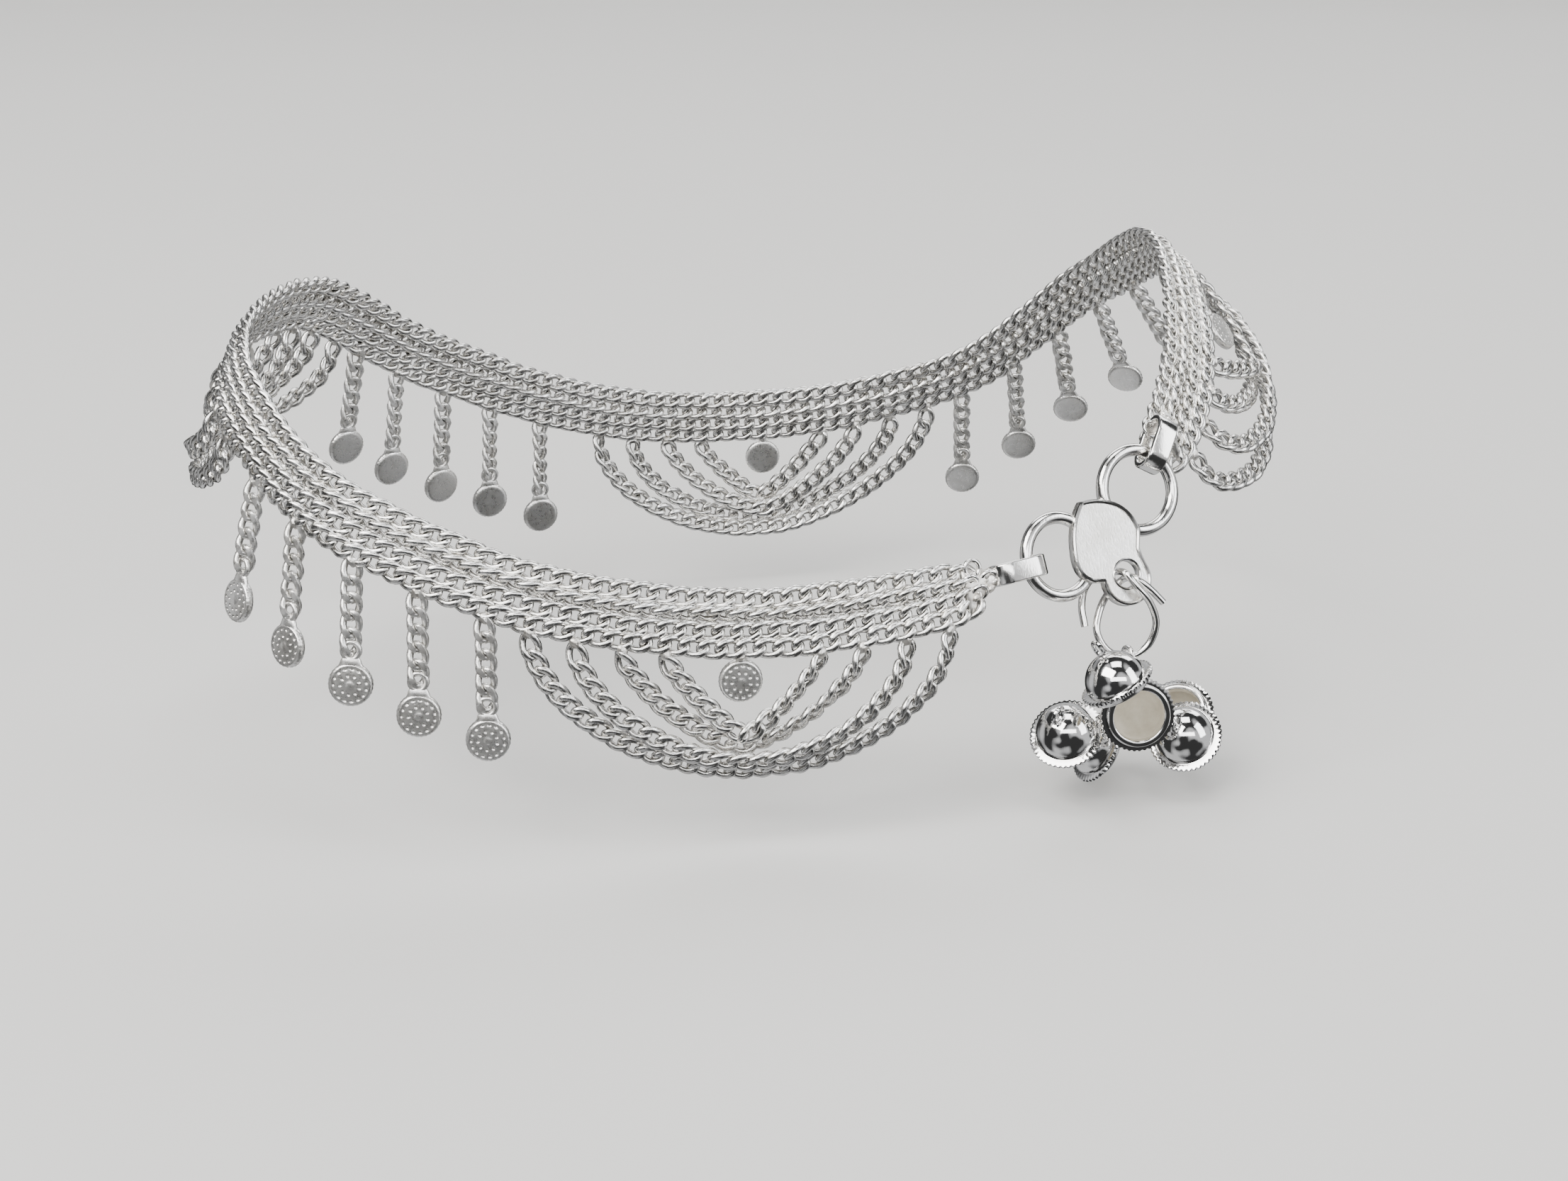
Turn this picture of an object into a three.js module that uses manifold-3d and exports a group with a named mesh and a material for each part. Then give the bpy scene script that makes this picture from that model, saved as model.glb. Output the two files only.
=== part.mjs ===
// A payal anklet, worn: four curb chains side by side round the ankle, four swags of
// hanging chain, three rows of tassels, and an S-hook clasp that carries a bunch of bells.
// Millimetres, +Z up. The origin is the middle of the ankle's opening, and -Y is the outer
// side of the ankle, where the clasp is.
import * as THREE from 'three';
import { ConvexGeometry } from 'three/addons/geometries/ConvexGeometry.js';
import { mergeVertices } from 'three/addons/utils/BufferGeometryUtils.js';
import Module from 'manifold-3d';

const wasm = await Module();
wasm.setup();

// Size of the ankle's loop: its length along the foot, its width and how far it climbs
const loopLong = 81.4;
const loopWide = 64.3;
const loopRise = 21.6;

// Route of the top chain round the ankle in shares of those sizes, from its end near the clasp,
// round the outer side, heel, inner side and instep, and back across the clasp. slope is how far
// the surface under the chain leans out from upright, in degrees.
const route = [
  { x: 0.267, y: -0.393, z: -0.352, slope: 24 },
  { x: 0.041, y: -0.463, z: -0.417, slope: 16 },
  { x: -0.186, y: -0.507, z: -0.255, slope: 16 },
  { x: -0.394, y: -0.449, z: 0.083, slope: 22 },
  { x: -0.502, y: -0.221, z: 0.407, slope: 32 },
  { x: -0.461, y: 0.062, z: 0.44, slope: 30 },
  { x: -0.342, y: 0.272, z: 0.014, slope: 20 },
  { x: -0.157, y: 0.409, z: -0.324, slope: 14 },
  { x: 0.065, y: 0.493, z: -0.407, slope: 14 },
  { x: 0.292, y: 0.488, z: -0.208, slope: 26 },
  { x: 0.44, y: 0.389, z: 0.296, slope: 44 },
  { x: 0.498, y: 0.156, z: 0.583, slope: 52 },
  { x: 0.489, y: -0.107, z: 0.199, slope: 48 },
  { x: 0.387, y: -0.313, z: -0.273, slope: 34 },
];

// Chains
const chainWidth = 1.05;
const chainSides = 8;
const chainStep = 3.3;
const strandCount = 4;
const rowPitch = 1.36;

// Pattern along the band, which ends short of the whole loop to leave room for the clasp
const claspSpan = 20.4;
const swagCount = 4;
const endToSwagCentre = 20.2;

// Swags: each chain's reach and depth are shares of the outer chain's, and lift is how far its
// bottom lies off the surface, since the four bunch up there
const swagHalfWidth = 16.7;
const swagDepth = 10.75;
const swagLift = 0.55;
const swagChains = [
  { across: 1, down: 1, fullness: 1.9, lift: -1 },
  { across: 0.785, down: 0.9, fullness: 1.8, lift: 1 },
  { across: 0.569, down: 0.798, fullness: 1.4, lift: -1 },
  { across: 0.366, down: 0.697, fullness: 1.15, lift: 1 },
];
const swagStep = 2.8;
const swagSamples = 60;
const hangGap = 0.68;
const hangTop = chainWidth / 2 + hangGap;
const hangLean = 11;
const discOffset = 0.15;

// Tassels and discs. A group of tassels sits a little nearer to the clasp's near end than
// the middle between two swags.
const tasselsPerGroup = 5;
const tasselSpacing = 5.5;
const tasselShift = -1.35;
const tasselChainLength = 7.6;
const tasselChainSteps = 3;
const discRadius = 1.8;
const discThickness = 0.8;
const earRadius = 0.75;
const earToDisc = 2.2;
const discDrop = 2.8;
const stemWidth = 0.9;
const stemGap = 0.45;
const dropDiscArc = { fromAngle: 110, toAngle: 430, sides: 14 };
const dropEarArc = { fromAngle: -50, toAngle: 230, sides: 7 };
const stemmedDiscArc = { fromAngle: 105, toAngle: 435, sides: 18 };

// Clasp: an S of round wire with a shield plate over its middle. claspPlace is the share of the
// clasp's span, from the band's far end, that its middle is at.
const claspPlace = 0.443;
const claspTurn = 22.4;
const claspTilt = 23;
const hookWire = 1.1;
const hookSides = 8;
const nearLoop = { a: -3.15, b: -2.35, ra: 3.1, rb: 3.35, fromAngle: 46, toAngle: 310, steps: 18 };
const farLoop = { a: 5.3, b: 2.4, ra: 3.4, rb: 3.5, fromAngle: 205, toAngle: -100, steps: 20 };
const plateThickness = 0.9;
const plateProud = 0.25;
const plateStart = [-0.7, 2.0];
const plateLeft = [{ via: [-2.2, 0.2], to: [-2.1, -2.9] }, { via: [-2.0, -4.5], to: [-0.6, -5.0] }];
const plateNotch = [4.3, -2.6];
const plateRight = [4.6, -1.0];
const plateTop = [{ via: [4.2, 0.8], to: [2.6, 1.6] }, { via: [1.0, 2.3], to: plateStart }];
const lobeA = 2.7;
const lobeB = -5.1;
const lobeRadius = 2.3;
const lobeTurn = 209;
const holeA = lobeA;
const holeAboveLobe = 0.44;
const holeB = lobeB + holeAboveLobe;
const holeRadius = 1.15;
const curveSteps = 8;

// Soldered ends of the band, each with a flat oval link round the hook's wire
const endBlockLength = 2.4;
const endBlockThickness = 1.5;
const strandEndGap = 0.6;
const linkThickness = 0.5;
const linkWidth = 1.5;
const linkInnerLength = 4.0;
const linkPlay = 0.45;
const nearLinkAngle = 186;
const nearLinkAt = 190;
const farLinkAngle = 60;
const farLinkAt = 54;

// Bell ring: one wire, coiled about one and a half turns through the plate's hole. Its route is
// measured from the hole: a and b are shares of the ring's reach, and n of its depth.
const ringWire = 0.63;
const ringSides = 6;
const ringSteps = 40;
const ringReach = 7;
const ringDepth = 1.6;
const ringRoute = [
  { a: 0.38, b: -0.41, n: 0.84 },
  { a: 0.21, b: -0.22, n: 0.94 },
  { a: 0.08, b: -0.08, n: 0.75 },
  { a: 0.05, b: -0.04, n: 0.19 },
  { a: 0.02, b: -0.06, n: -0.37 },
  { a: -0.16, b: -0.19, n: -0.62 },
  { a: -0.33, b: -0.39, n: -0.56 },
  { a: -0.42, b: -0.65, n: -0.5 },
  { a: -0.32, b: -0.89, n: -0.44 },
  { a: -0.07, b: -1.01, n: -0.31 },
  { a: 0.17, b: -0.91, n: 0.06 },
  { a: 0.28, b: -0.66, n: 0.5 },
  { a: 0.2, b: -0.39, n: 0.84 },
  { a: 0.04, b: -0.18, n: 1 },
  { a: -0.04, b: -0.01, n: 0.75 },
  { a: -0.05, b: 0.04, n: 0.19 },
  { a: -0.09, b: 0.05, n: -0.37 },
  { a: -0.26, b: 0.04, n: -0.84 },
  { a: -0.43, b: -0.09, n: -0.97 },
  { a: -0.52, b: -0.31, n: -0.94 },
  { a: -0.53, b: -0.56, n: -0.87 },
];

// Bells: thin domed cups with a milled flange, a smooth lip below it and a small loop on top
const bellRadius = 2.6;
const bellDepth = 3.5;
const bellWall = 0.45;
const flangeWidth = 0.65;
const lipWidth = 0.15;
const lipHeight = 0.5;
const bellSegments = 14;
const domeRings = 3;
const bellLoopRadius = 0.7;
const bellLoopWire = 0.35;
const bellLoopSides = 5;
const bellLoopSteps = 10;
const bellLoopSink = 0.05;

// Small link from the bell ring down to the bells, hidden behind the top bell
const dropLinkWire = 0.45;
const dropLinkRadius = 0.85;
const dropLinkLength = 5.0;
const dropLinkLean = 30;
const dropLinkSteps = 24;
const dropLinkBends = 6;
const middleLoopReach = 4.25;
const middleLoopBack = 0.1;

// Bells: rim's centre from the middle bell's loop in shares of the bell's radius, the way the
// mouth faces, and the line of the wire through the loop on top. The middle bell hangs on the link.
const middleMouth = [-0.26, -0.24, 0.93];
const bellPlaces = [
  { name: 'bell_top', at: [-1.19, 0.59, 1.91], mouth: [0.45, -0.88, -0.17], wire: [1, 0, 0] },
  { name: 'bell_left', at: [-2.17, -0.78, -0.34], mouth: [0.5, -0.52, -0.69], wire: [0, 0, 1] },
  { name: 'bell_right', at: [2.02, -1.48, 0.04], mouth: [0.6, -0.41, -0.69], wire: [0, 0, 1] },
  { name: 'bell_back', at: [2.1, -0.55, -0.57], mouth: [-0.6, 0.41, 0.69], wire: [0, 1, 0] },
  { name: 'bell_low', at: [-0.31, -1.43, -1.59], mouth: [0.88, -0.46, -0.1], wire: [1, 0, 0] },
];

// Colours
const silver = 0xd9d8d4;
const brightSilver = 0xe6e5e1;
const warmSilver = 0xcfcdc6;

const model = new THREE.Group();

function addMesh(name, geometry, color, roughness) {
  const material = new THREE.MeshStandardMaterial({ color, metalness: 1, roughness });
  const mesh = new THREE.Mesh(geometry, material);
  mesh.name = name;
  model.add(mesh);
}

// Solids: to manifold-3d and back
function toSolid(geometry) {
  const bare = geometry.clone();
  bare.deleteAttribute('normal');
  bare.deleteAttribute('uv');
  const merged = mergeVertices(bare, 1e-4);
  return new wasm.Manifold(new wasm.Mesh({
    numProp: 3,
    vertProperties: new Float32Array(merged.attributes.position.array),
    triVerts: new Uint32Array(merged.index.array),
  }));
}

function toGeometry(solid) {
  const mesh = solid.getMesh();
  const geometry = new THREE.BufferGeometry();
  const positions = new Float32Array(mesh.vertProperties);
  geometry.setAttribute('position', new THREE.BufferAttribute(positions, 3));
  geometry.setIndex(new THREE.BufferAttribute(new Uint32Array(mesh.triVerts), 1));
  geometry.computeVertexNormals();
  return geometry;
}

function join(...geometries) {
  return toGeometry(geometries.map(toSolid).reduce((all, one) => all.add(one)));
}

// Round section and tube
function roundSection(radius, sides) {
  const points = [];
  for (let i = 0; i < sides; i += 1) {
    const angle = (2 * Math.PI * i) / sides;
    points.push(new THREE.Vector2(radius * Math.cos(angle), radius * Math.sin(angle)));
  }
  return new THREE.Shape(points);
}

function tube(points, width, sides, steps) {
  const path = new THREE.CatmullRomCurve3(points, false, 'centripetal');
  return new THREE.ExtrudeGeometry(roundSection(width / 2, sides), {
    steps,
    bevelEnabled: false,
    extrudePath: path,
  });
}

// Surface under the band
const loop = new THREE.CatmullRomCurve3(
  route.map(({ x, y, z }) => new THREE.Vector3(x * loopLong, y * loopWide, z * loopRise)),
  true, 'centripetal');
loop.arcLengthDivisions = 2000;
const loopLength = loop.getLength();
const bandLength = loopLength - claspSpan;
const patternPeriod = (bandLength - 2 * endToSwagCentre) / (swagCount - 1);
const up = new THREE.Vector3(0, 0, 1);

function slopeAt(arc) {
  const place = loop.getUtoTmapping(arc / loopLength) * route.length;
  const row = Math.floor(place);
  const share = place - row;
  const here = route[row % route.length].slope;
  const next = route[(row + 1) % route.length].slope;
  return THREE.MathUtils.degToRad(here + (next - here) * share);
}

// Frame at an arc length along the top chain. fall runs straight down the surface, down runs
// down it square to the chain, and out leaves it.
function frameAt(arc, lessSlope = 0) {
  const at = loop.getPointAt(arc / loopLength);
  const along = loop.getTangentAt(arc / loopLength);
  const outward = new THREE.Vector3(-along.y, along.x, 0).normalize();
  const slope = slopeAt(arc) - THREE.MathUtils.degToRad(lessSlope);
  const fall = up.clone().multiplyScalar(-Math.cos(slope));
  fall.addScaledVector(outward, Math.sin(slope));
  const out = new THREE.Vector3().crossVectors(along, fall).normalize();
  const down = new THREE.Vector3().crossVectors(out, along);
  return { at, along, fall, down, out };
}

function onBand(arc, drop) {
  const frame = frameAt(arc);
  return frame.at.addScaledVector(frame.down, drop);
}

// Below the bottom chain the pieces hang down the surface, which is a little steeper there
const bottomRow = (strandCount - 1) * rowPitch;

function hanging(arc, drop, lift = 0) {
  const below = frameAt(arc, hangLean);
  const point = onBand(arc, bottomRow);
  return point.addScaledVector(below.fall, drop).addScaledVector(below.out, lift);
}

// Four strands of the band
function buildStrands() {
  const from = endBlockLength + strandEndGap;
  const length = bandLength - 2 * from;
  const steps = Math.round(length / chainStep);
  for (let row = 0; row < strandCount; row += 1) {
    const points = [];
    for (let i = 0; i <= steps; i += 1) {
      points.push(onBand(from + (length * i) / steps, row * rowPitch));
    }
    const geometry = tube(points, chainWidth, chainSides, steps);
    addMesh(`strand_${row + 1}`, geometry, silver, 0.3);
  }
}

// One hanging chain of a swag: a half superellipse on the surface below the band
function swagChain(centre, { across, down, fullness, lift }) {
  const bottom = swagDepth * down - hangTop;
  const points = [];
  for (let i = 0; i <= swagSamples; i += 1) {
    const angle = Math.PI * (i / swagSamples);
    const side = Math.sign(Math.cos(angle)) * Math.abs(Math.cos(angle)) ** (2 / fullness);
    const fall = Math.sin(angle) ** (2 / fullness);
    const arc = centre - swagHalfWidth * across * side;
    points.push(hanging(arc, hangTop + bottom * fall, swagLift * lift * fall));
  }
  const fine = new THREE.CatmullRomCurve3(points, false, 'centripetal');
  const steps = Math.round(fine.getLength() / swagStep);
  return tube(fine.getSpacedPoints(steps), chainWidth, chainSides, steps);
}

function buildSwags() {
  for (let swag = 0; swag < swagCount; swag += 1) {
    const centre = endToSwagCentre + swag * patternPeriod;
    swagChains.forEach((chain, i) => {
      const geometry = swagChain(centre, chain);
      addMesh(`swag_${swag + 1}_chain_${i + 1}`, geometry, silver, 0.3);
    });
  }
}

// Places a flat piece drawn in (x along the band, y up) on the surface
function placeOnSurface(geometry, arc, drop) {
  const frame = frameAt(arc, hangLean);
  const upwards = frame.fall.clone().negate();
  const right = new THREE.Vector3().crossVectors(upwards, frame.out);
  const matrix = new THREE.Matrix4().makeBasis(right, upwards, frame.out);
  matrix.setPosition(hanging(arc, drop));
  return geometry.applyMatrix4(matrix);
}

function flatSolid(shape, thickness) {
  const options = { depth: thickness, bevelEnabled: false, curveSegments: curveSteps };
  return new THREE.ExtrudeGeometry(shape, options).translate(0, 0, -thickness / 2);
}

function arcPoints(radius, y, { fromAngle, toAngle, sides }) {
  const points = [];
  for (let i = 0; i <= sides; i += 1) {
    const angle = THREE.MathUtils.degToRad(fromAngle + ((toAngle - fromAngle) * i) / sides);
    points.push(new THREE.Vector2(radius * Math.cos(angle), y + radius * Math.sin(angle)));
  }
  return points;
}

// Pear-shaped drop: a disc with an ear on top, drawn about the ear's middle
function dropSolid() {
  const disc = arcPoints(discRadius, -earToDisc, dropDiscArc);
  const ear = arcPoints(earRadius, 0, dropEarArc);
  return flatSolid(new THREE.Shape([...disc, ...ear]), discThickness);
}

function buildTassels() {
  for (let group = 0; group < swagCount - 1; group += 1) {
    const middle = endToSwagCentre + (group + 0.5) * patternPeriod + tasselShift;
    for (let i = 0; i < tasselsPerGroup; i += 1) {
      const arc = middle + (i - (tasselsPerGroup - 1) / 2) * tasselSpacing;
      const points = [];
      for (let k = 0; k <= tasselChainSteps; k += 1) {
        points.push(hanging(arc, hangTop + (tasselChainLength * k) / tasselChainSteps));
      }
      const chain = tube(points, chainWidth, chainSides, tasselChainSteps);
      const drop = placeOnSurface(dropSolid(), arc, hangTop + tasselChainLength);
      addMesh(`tassel_${group + 1}_${i + 1}`, join(chain, drop), brightSilver, 0.25);
    }
  }
}

function buildDiscs() {
  for (let swag = 0; swag < swagCount; swag += 1) {
    const arc = endToSwagCentre + swag * patternPeriod + discOffset;
    const stemTop = discDrop - chainWidth / 2 - stemGap;
    const stem = [0.5, -0.5].map((share) => new THREE.Vector2(share * stemWidth, stemTop));
    const shape = new THREE.Shape([...arcPoints(discRadius, 0, stemmedDiscArc), ...stem]);
    const geometry = placeOnSurface(flatSolid(shape, discThickness), arc, discDrop);
    addMesh(`disc_${swag + 1}`, geometry, brightSilver, 0.22);
  }
}

// Clasp plane: a runs right along the clasp, b up it and n out of it
const claspOut = new THREE.Vector3(0, -1, 0)
  .applyAxisAngle(new THREE.Vector3(1, 0, 0), -THREE.MathUtils.degToRad(claspTilt))
  .applyAxisAngle(up, THREE.MathUtils.degToRad(claspTurn));
const claspRight = new THREE.Vector3().crossVectors(up, claspOut).normalize();
const claspUp = new THREE.Vector3().crossVectors(claspOut, claspRight);
const claspFrame = new THREE.Matrix4().makeBasis(claspRight, claspUp, claspOut);
claspFrame.setPosition(loop.getPointAt((bandLength + claspPlace * claspSpan) / loopLength));

function onClasp(a, b, n = 0) {
  return new THREE.Vector3(a, b, n).applyMatrix4(claspFrame);
}

function loopPoint(ellipse, degrees) {
  const angle = THREE.MathUtils.degToRad(degrees);
  const a = ellipse.a + ellipse.ra * Math.cos(angle);
  const b = ellipse.b + ellipse.rb * Math.sin(angle);
  return new THREE.Vector3(a, b, 0);
}

function hookLoop(ellipse) {
  const points = [];
  for (let i = 0; i <= ellipse.steps; i += 1) {
    const degrees = ellipse.fromAngle + ((ellipse.toAngle - ellipse.fromAngle) * i) / ellipse.steps;
    points.push(loopPoint(ellipse, degrees));
  }
  return tube(points, hookWire, hookSides, ellipse.steps);
}

// Shield plate, drawn in the clasp plane, with a round lobe that has the bell ring's hole
function plateShape() {
  const shape = new THREE.Shape();
  shape.moveTo(...plateStart);
  plateLeft.forEach(({ via, to }) => shape.quadraticCurveTo(...via, ...to));
  shape.absarc(lobeA, lobeB, lobeRadius, Math.PI, THREE.MathUtils.degToRad(180 + lobeTurn), false);
  shape.lineTo(...plateNotch);
  shape.lineTo(...plateRight);
  plateTop.forEach(({ via, to }) => shape.quadraticCurveTo(...via, ...to));
  const hole = new THREE.Path();
  hole.absarc(holeA, holeB, holeRadius, 0, 2 * Math.PI, true);
  shape.holes.push(hole);
  return shape;
}

function buildClasp() {
  const plate = flatSolid(plateShape(), plateThickness).translate(0, 0, plateProud);
  const clasp = join(hookLoop(nearLoop), hookLoop(farLoop), plate);
  addMesh('clasp', clasp.applyMatrix4(claspFrame), brightSilver, 0.2);
}

// Flat oval link, drawn with its length along x, round a wire that lies across it
function ovalLink() {
  const innerHalf = hookWire / 2 + linkPlay;
  const straight = linkInnerLength / 2 - innerHalf;
  const stadium = (Kind, radius, clockwise) => {
    const outline = new Kind();
    const quarter = Math.PI / 2;
    if (clockwise) {
      outline.absarc(straight, 0, radius, quarter, -quarter, true);
      outline.absarc(-straight, 0, radius, -quarter, -3 * quarter, true);
    } else {
      outline.absarc(straight, 0, radius, -quarter, quarter, false);
      outline.absarc(-straight, 0, radius, quarter, 3 * quarter, false);
    }
    outline.closePath();
    return outline;
  };
  const shape = stadium(THREE.Shape, innerHalf + linkThickness, false);
  shape.holes.push(stadium(THREE.Path, innerHalf, true));
  const link = flatSolid(shape, linkWidth);
  return link.rotateX(Math.PI / 2);
}

// The end block: the strands' last links soldered into a wedge, with the oval link on it
function buildEnd(name, arcFrom, ellipse, wireAt, linkAngle) {
  const wire = loopPoint(ellipse, wireAt);
  const angle = THREE.MathUtils.degToRad(linkAngle);
  const reach = new THREE.Vector3(Math.cos(angle), Math.sin(angle), 0);
  const shift = linkInnerLength / 2 - hookWire / 2 - linkPlay;
  const link = ovalLink().rotateZ(angle);
  const centre = wire.clone().addScaledVector(reach, shift);
  link.translate(centre.x, centre.y, 0).applyMatrix4(claspFrame);

  const outerHalf = linkInnerLength / 2 + linkThickness;
  const tip = centre.clone().addScaledVector(reach, outerHalf - linkThickness / 2);
  const side = new THREE.Vector3(-reach.y, reach.x, 0);
  const tipCorners = [];
  const tipHalf = linkWidth / 2;
  for (const [across, out] of [[1, 1], [-1, 1], [-1, -1], [1, -1]]) {
    const corner = tip.clone().addScaledVector(side, across * tipHalf);
    corner.z = (out * endBlockThickness) / 2;
    tipCorners.push(corner.applyMatrix4(claspFrame));
  }
  const frame = frameAt(arcFrom);
  const halfHeight = bottomRow / 2 + chainWidth / 2;
  const middle = onBand(arcFrom, bottomRow / 2);
  const bandCorners = [];
  for (const [across, out] of [[1, 1], [-1, 1], [-1, -1], [1, -1]]) {
    const corner = middle.clone().addScaledVector(frame.down, -across * halfHeight);
    corner.addScaledVector(frame.out, (out * endBlockThickness) / 2);
    bandCorners.push(corner);
  }
  const block = new ConvexGeometry([...tipCorners, ...bandCorners]);
  addMesh(name, join(link, block), warmSilver, 0.35);
}

// Bell bunch, drawn from the plate's hole along the clasp plane's axes
const bunchFrame = claspFrame.clone().setPosition(onClasp(holeA, holeB));
const ringPoints = ringRoute.map(({ a, b, n }) => (
  new THREE.Vector3(a * ringReach, b * ringReach, n * ringDepth)));

function buildRing() {
  const geometry = tube(ringPoints, ringWire, ringSides, ringSteps).applyMatrix4(bunchFrame);
  addMesh('bell_ring', geometry, brightSilver, 0.2);
}

// Oval link hung on the lowest point of the bell ring, with its seam at the back
const ringLow = ringPoints.reduce((low, point) => (point.y < low.y ? point : low));
const dropLean = THREE.MathUtils.degToRad(dropLinkLean);
const dropAlong = new THREE.Vector3(0, -Math.cos(dropLean), -Math.sin(dropLean));
const dropFront = new THREE.Vector3(0, -Math.sin(dropLean), Math.cos(dropLean));

function onDropLink(reach, out) {
  return ringLow.clone().addScaledVector(dropAlong, reach).addScaledVector(dropFront, out);
}

function buildDropLink() {
  const points = [];
  for (const [end, sign] of [[dropLinkLength, 1], [0, -1]]) {
    for (let i = 0; i <= dropLinkBends; i += 1) {
      const angle = Math.PI * (i / dropLinkBends);
      const reach = end + sign * dropLinkRadius * Math.sin(angle);
      points.push(onDropLink(reach, -sign * dropLinkRadius * Math.cos(angle)));
    }
  }
  points.push(onDropLink(dropLinkLength - dropLinkWire / 2, -dropLinkRadius));
  const geometry = tube(points, dropLinkWire, ringSides, dropLinkSteps).applyMatrix4(bunchFrame);
  addMesh('bell_link', geometry, brightSilver, 0.2);
}

function bellSolid() {
  const inner = bellRadius - bellWall;
  const shoulder = bellDepth - bellRadius;
  const flangeRadius = bellRadius + flangeWidth;
  const dome = (radius) => {
    const points = [new THREE.Vector2(0, -shoulder - radius)];
    for (let i = 1; i <= domeRings; i += 1) {
      const angle = (Math.PI / 2) * (i / domeRings);
      points.push(new THREE.Vector2(radius * Math.sin(angle), -shoulder - radius * Math.cos(angle)));
    }
    return points;
  };
  const rim = [
    new THREE.Vector2(flangeRadius, -shoulder),
    new THREE.Vector2(flangeRadius, -lipHeight),
    new THREE.Vector2(bellRadius + lipWidth, -lipHeight),
    new THREE.Vector2(bellRadius + lipWidth, 0),
    new THREE.Vector2(inner, 0),
  ];
  const profile = [...dome(bellRadius), ...rim, ...dome(inner).reverse()];
  const cup = new THREE.LatheGeometry(profile, bellSegments).rotateX(Math.PI / 2);
  const eye = new THREE.TorusGeometry(
    bellLoopRadius, bellLoopWire / 2, bellLoopSides, bellLoopSteps);
  eye.rotateY(Math.PI / 2).translate(0, 0, -eyeToRim);
  return join(cup, eye);
}

function addBell(name, rim, mouth, wire) {
  const side = wire.clone().addScaledVector(mouth, -wire.dot(mouth)).normalize();
  const turn = new THREE.Matrix4().makeBasis(side, new THREE.Vector3().crossVectors(mouth, side), mouth);
  const geometry = bellSolid().applyMatrix4(turn.setPosition(rim)).applyMatrix4(bunchFrame);
  addMesh(name, geometry, brightSilver, 0.15);
}

// The middle bell's loop is threaded on the front of the drop link, and the others lie round it
const eyeToRim = bellDepth + bellLoopRadius - bellLoopSink;

function buildBells() {
  const eye = onDropLink(middleLoopReach, dropLinkRadius - middleLoopBack);
  const facing = new THREE.Vector3(...middleMouth).normalize();
  addBell('bell_middle', eye.clone().addScaledVector(facing, eyeToRim), facing, dropAlong);
  for (const { name, at, mouth, wire } of bellPlaces) {
    const rim = eye.clone().addScaledVector(new THREE.Vector3(...at), bellRadius);
    addBell(name, rim, new THREE.Vector3(...mouth).normalize(), new THREE.Vector3(...wire));
  }
}

buildStrands();
buildSwags();
buildTassels();
buildDiscs();
buildClasp();
buildEnd('end_near', endBlockLength, nearLoop, nearLinkAt, nearLinkAngle);
buildEnd('end_far', bandLength - endBlockLength, farLoop, farLinkAt, farLinkAngle);
buildRing();
buildDropLink();
buildBells();

export default model;
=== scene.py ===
# Looks of a payal anklet: real curb links on every chain, dimpled drops, an S-hook clasp with
# a bright-edged plate, and a bunch of small bells. Shapes are worked out in millimetres in the
# frame of the CAD part and written to Blender in metres.
import math

import bmesh
import bpy
import numpy as np
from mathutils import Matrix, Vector


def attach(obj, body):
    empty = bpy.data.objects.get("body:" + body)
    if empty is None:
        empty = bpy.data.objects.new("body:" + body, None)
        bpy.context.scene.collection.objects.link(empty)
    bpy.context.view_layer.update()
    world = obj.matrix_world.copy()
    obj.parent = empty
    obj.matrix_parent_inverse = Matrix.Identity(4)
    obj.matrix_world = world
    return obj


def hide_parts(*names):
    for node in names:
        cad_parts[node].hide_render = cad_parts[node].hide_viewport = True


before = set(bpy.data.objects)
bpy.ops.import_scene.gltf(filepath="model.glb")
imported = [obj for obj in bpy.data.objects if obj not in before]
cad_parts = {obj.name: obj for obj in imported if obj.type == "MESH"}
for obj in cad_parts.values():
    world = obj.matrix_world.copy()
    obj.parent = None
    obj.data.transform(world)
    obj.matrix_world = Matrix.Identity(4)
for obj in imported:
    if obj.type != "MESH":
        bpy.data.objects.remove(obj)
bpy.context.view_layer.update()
MM = 0.001
rng = np.random.default_rng(12)

# Sizes in millimetres, as in the part's source but for the discs' radius, which is a little more
# here. ROUTE is the route of the top chain: x, y and z in shares of the loop's length, width and
# rise, and how far the surface under the chain leans out, in degrees.
LOOP_SIZE = np.array([81.4, 64.3, 21.6])
ROUTE = np.array([
    [0.267, -0.393, -0.352, 24],
    [0.041, -0.463, -0.417, 16],
    [-0.186, -0.507, -0.255, 16],
    [-0.394, -0.449, 0.083, 22],
    [-0.502, -0.221, 0.407, 32],
    [-0.461, 0.062, 0.44, 30],
    [-0.342, 0.272, 0.014, 20],
    [-0.157, 0.409, -0.324, 14],
    [0.065, 0.493, -0.407, 14],
    [0.292, 0.488, -0.208, 26],
    [0.44, 0.389, 0.296, 44],
    [0.498, 0.156, 0.583, 52],
    [0.489, -0.107, 0.199, 48],
    [0.387, -0.313, -0.273, 34],
])
CLASP_SPAN = 20.4
CLASP_PLACE = 0.443
ROW_PITCH = 1.36
ROWS = 4
BOTTOM_ROW = (ROWS - 1) * ROW_PITCH
SWAGS = 4
FIRST_SWAG = 20.2
HANG_TOP = 1.205
HANG_LEAN = 11
SWAG_HALF = 16.7
SWAG_DEPTH = 10.75
SWAG_LIFT = 0.55
SWAG_CHAINS = [
    {"across": 1, "down": 1, "full": 1.9, "lift": -1},
    {"across": 0.785, "down": 0.9, "full": 1.8, "lift": 1},
    {"across": 0.569, "down": 0.798, "full": 1.4, "lift": -1},
    {"across": 0.366, "down": 0.697, "full": 1.15, "lift": 1},
]
TASSELS = 5
TASSEL_SPACING = 5.5
TASSEL_SHIFT = -1.35
TASSEL_CHAIN = 7.6
DISC_RADIUS = 1.83
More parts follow.
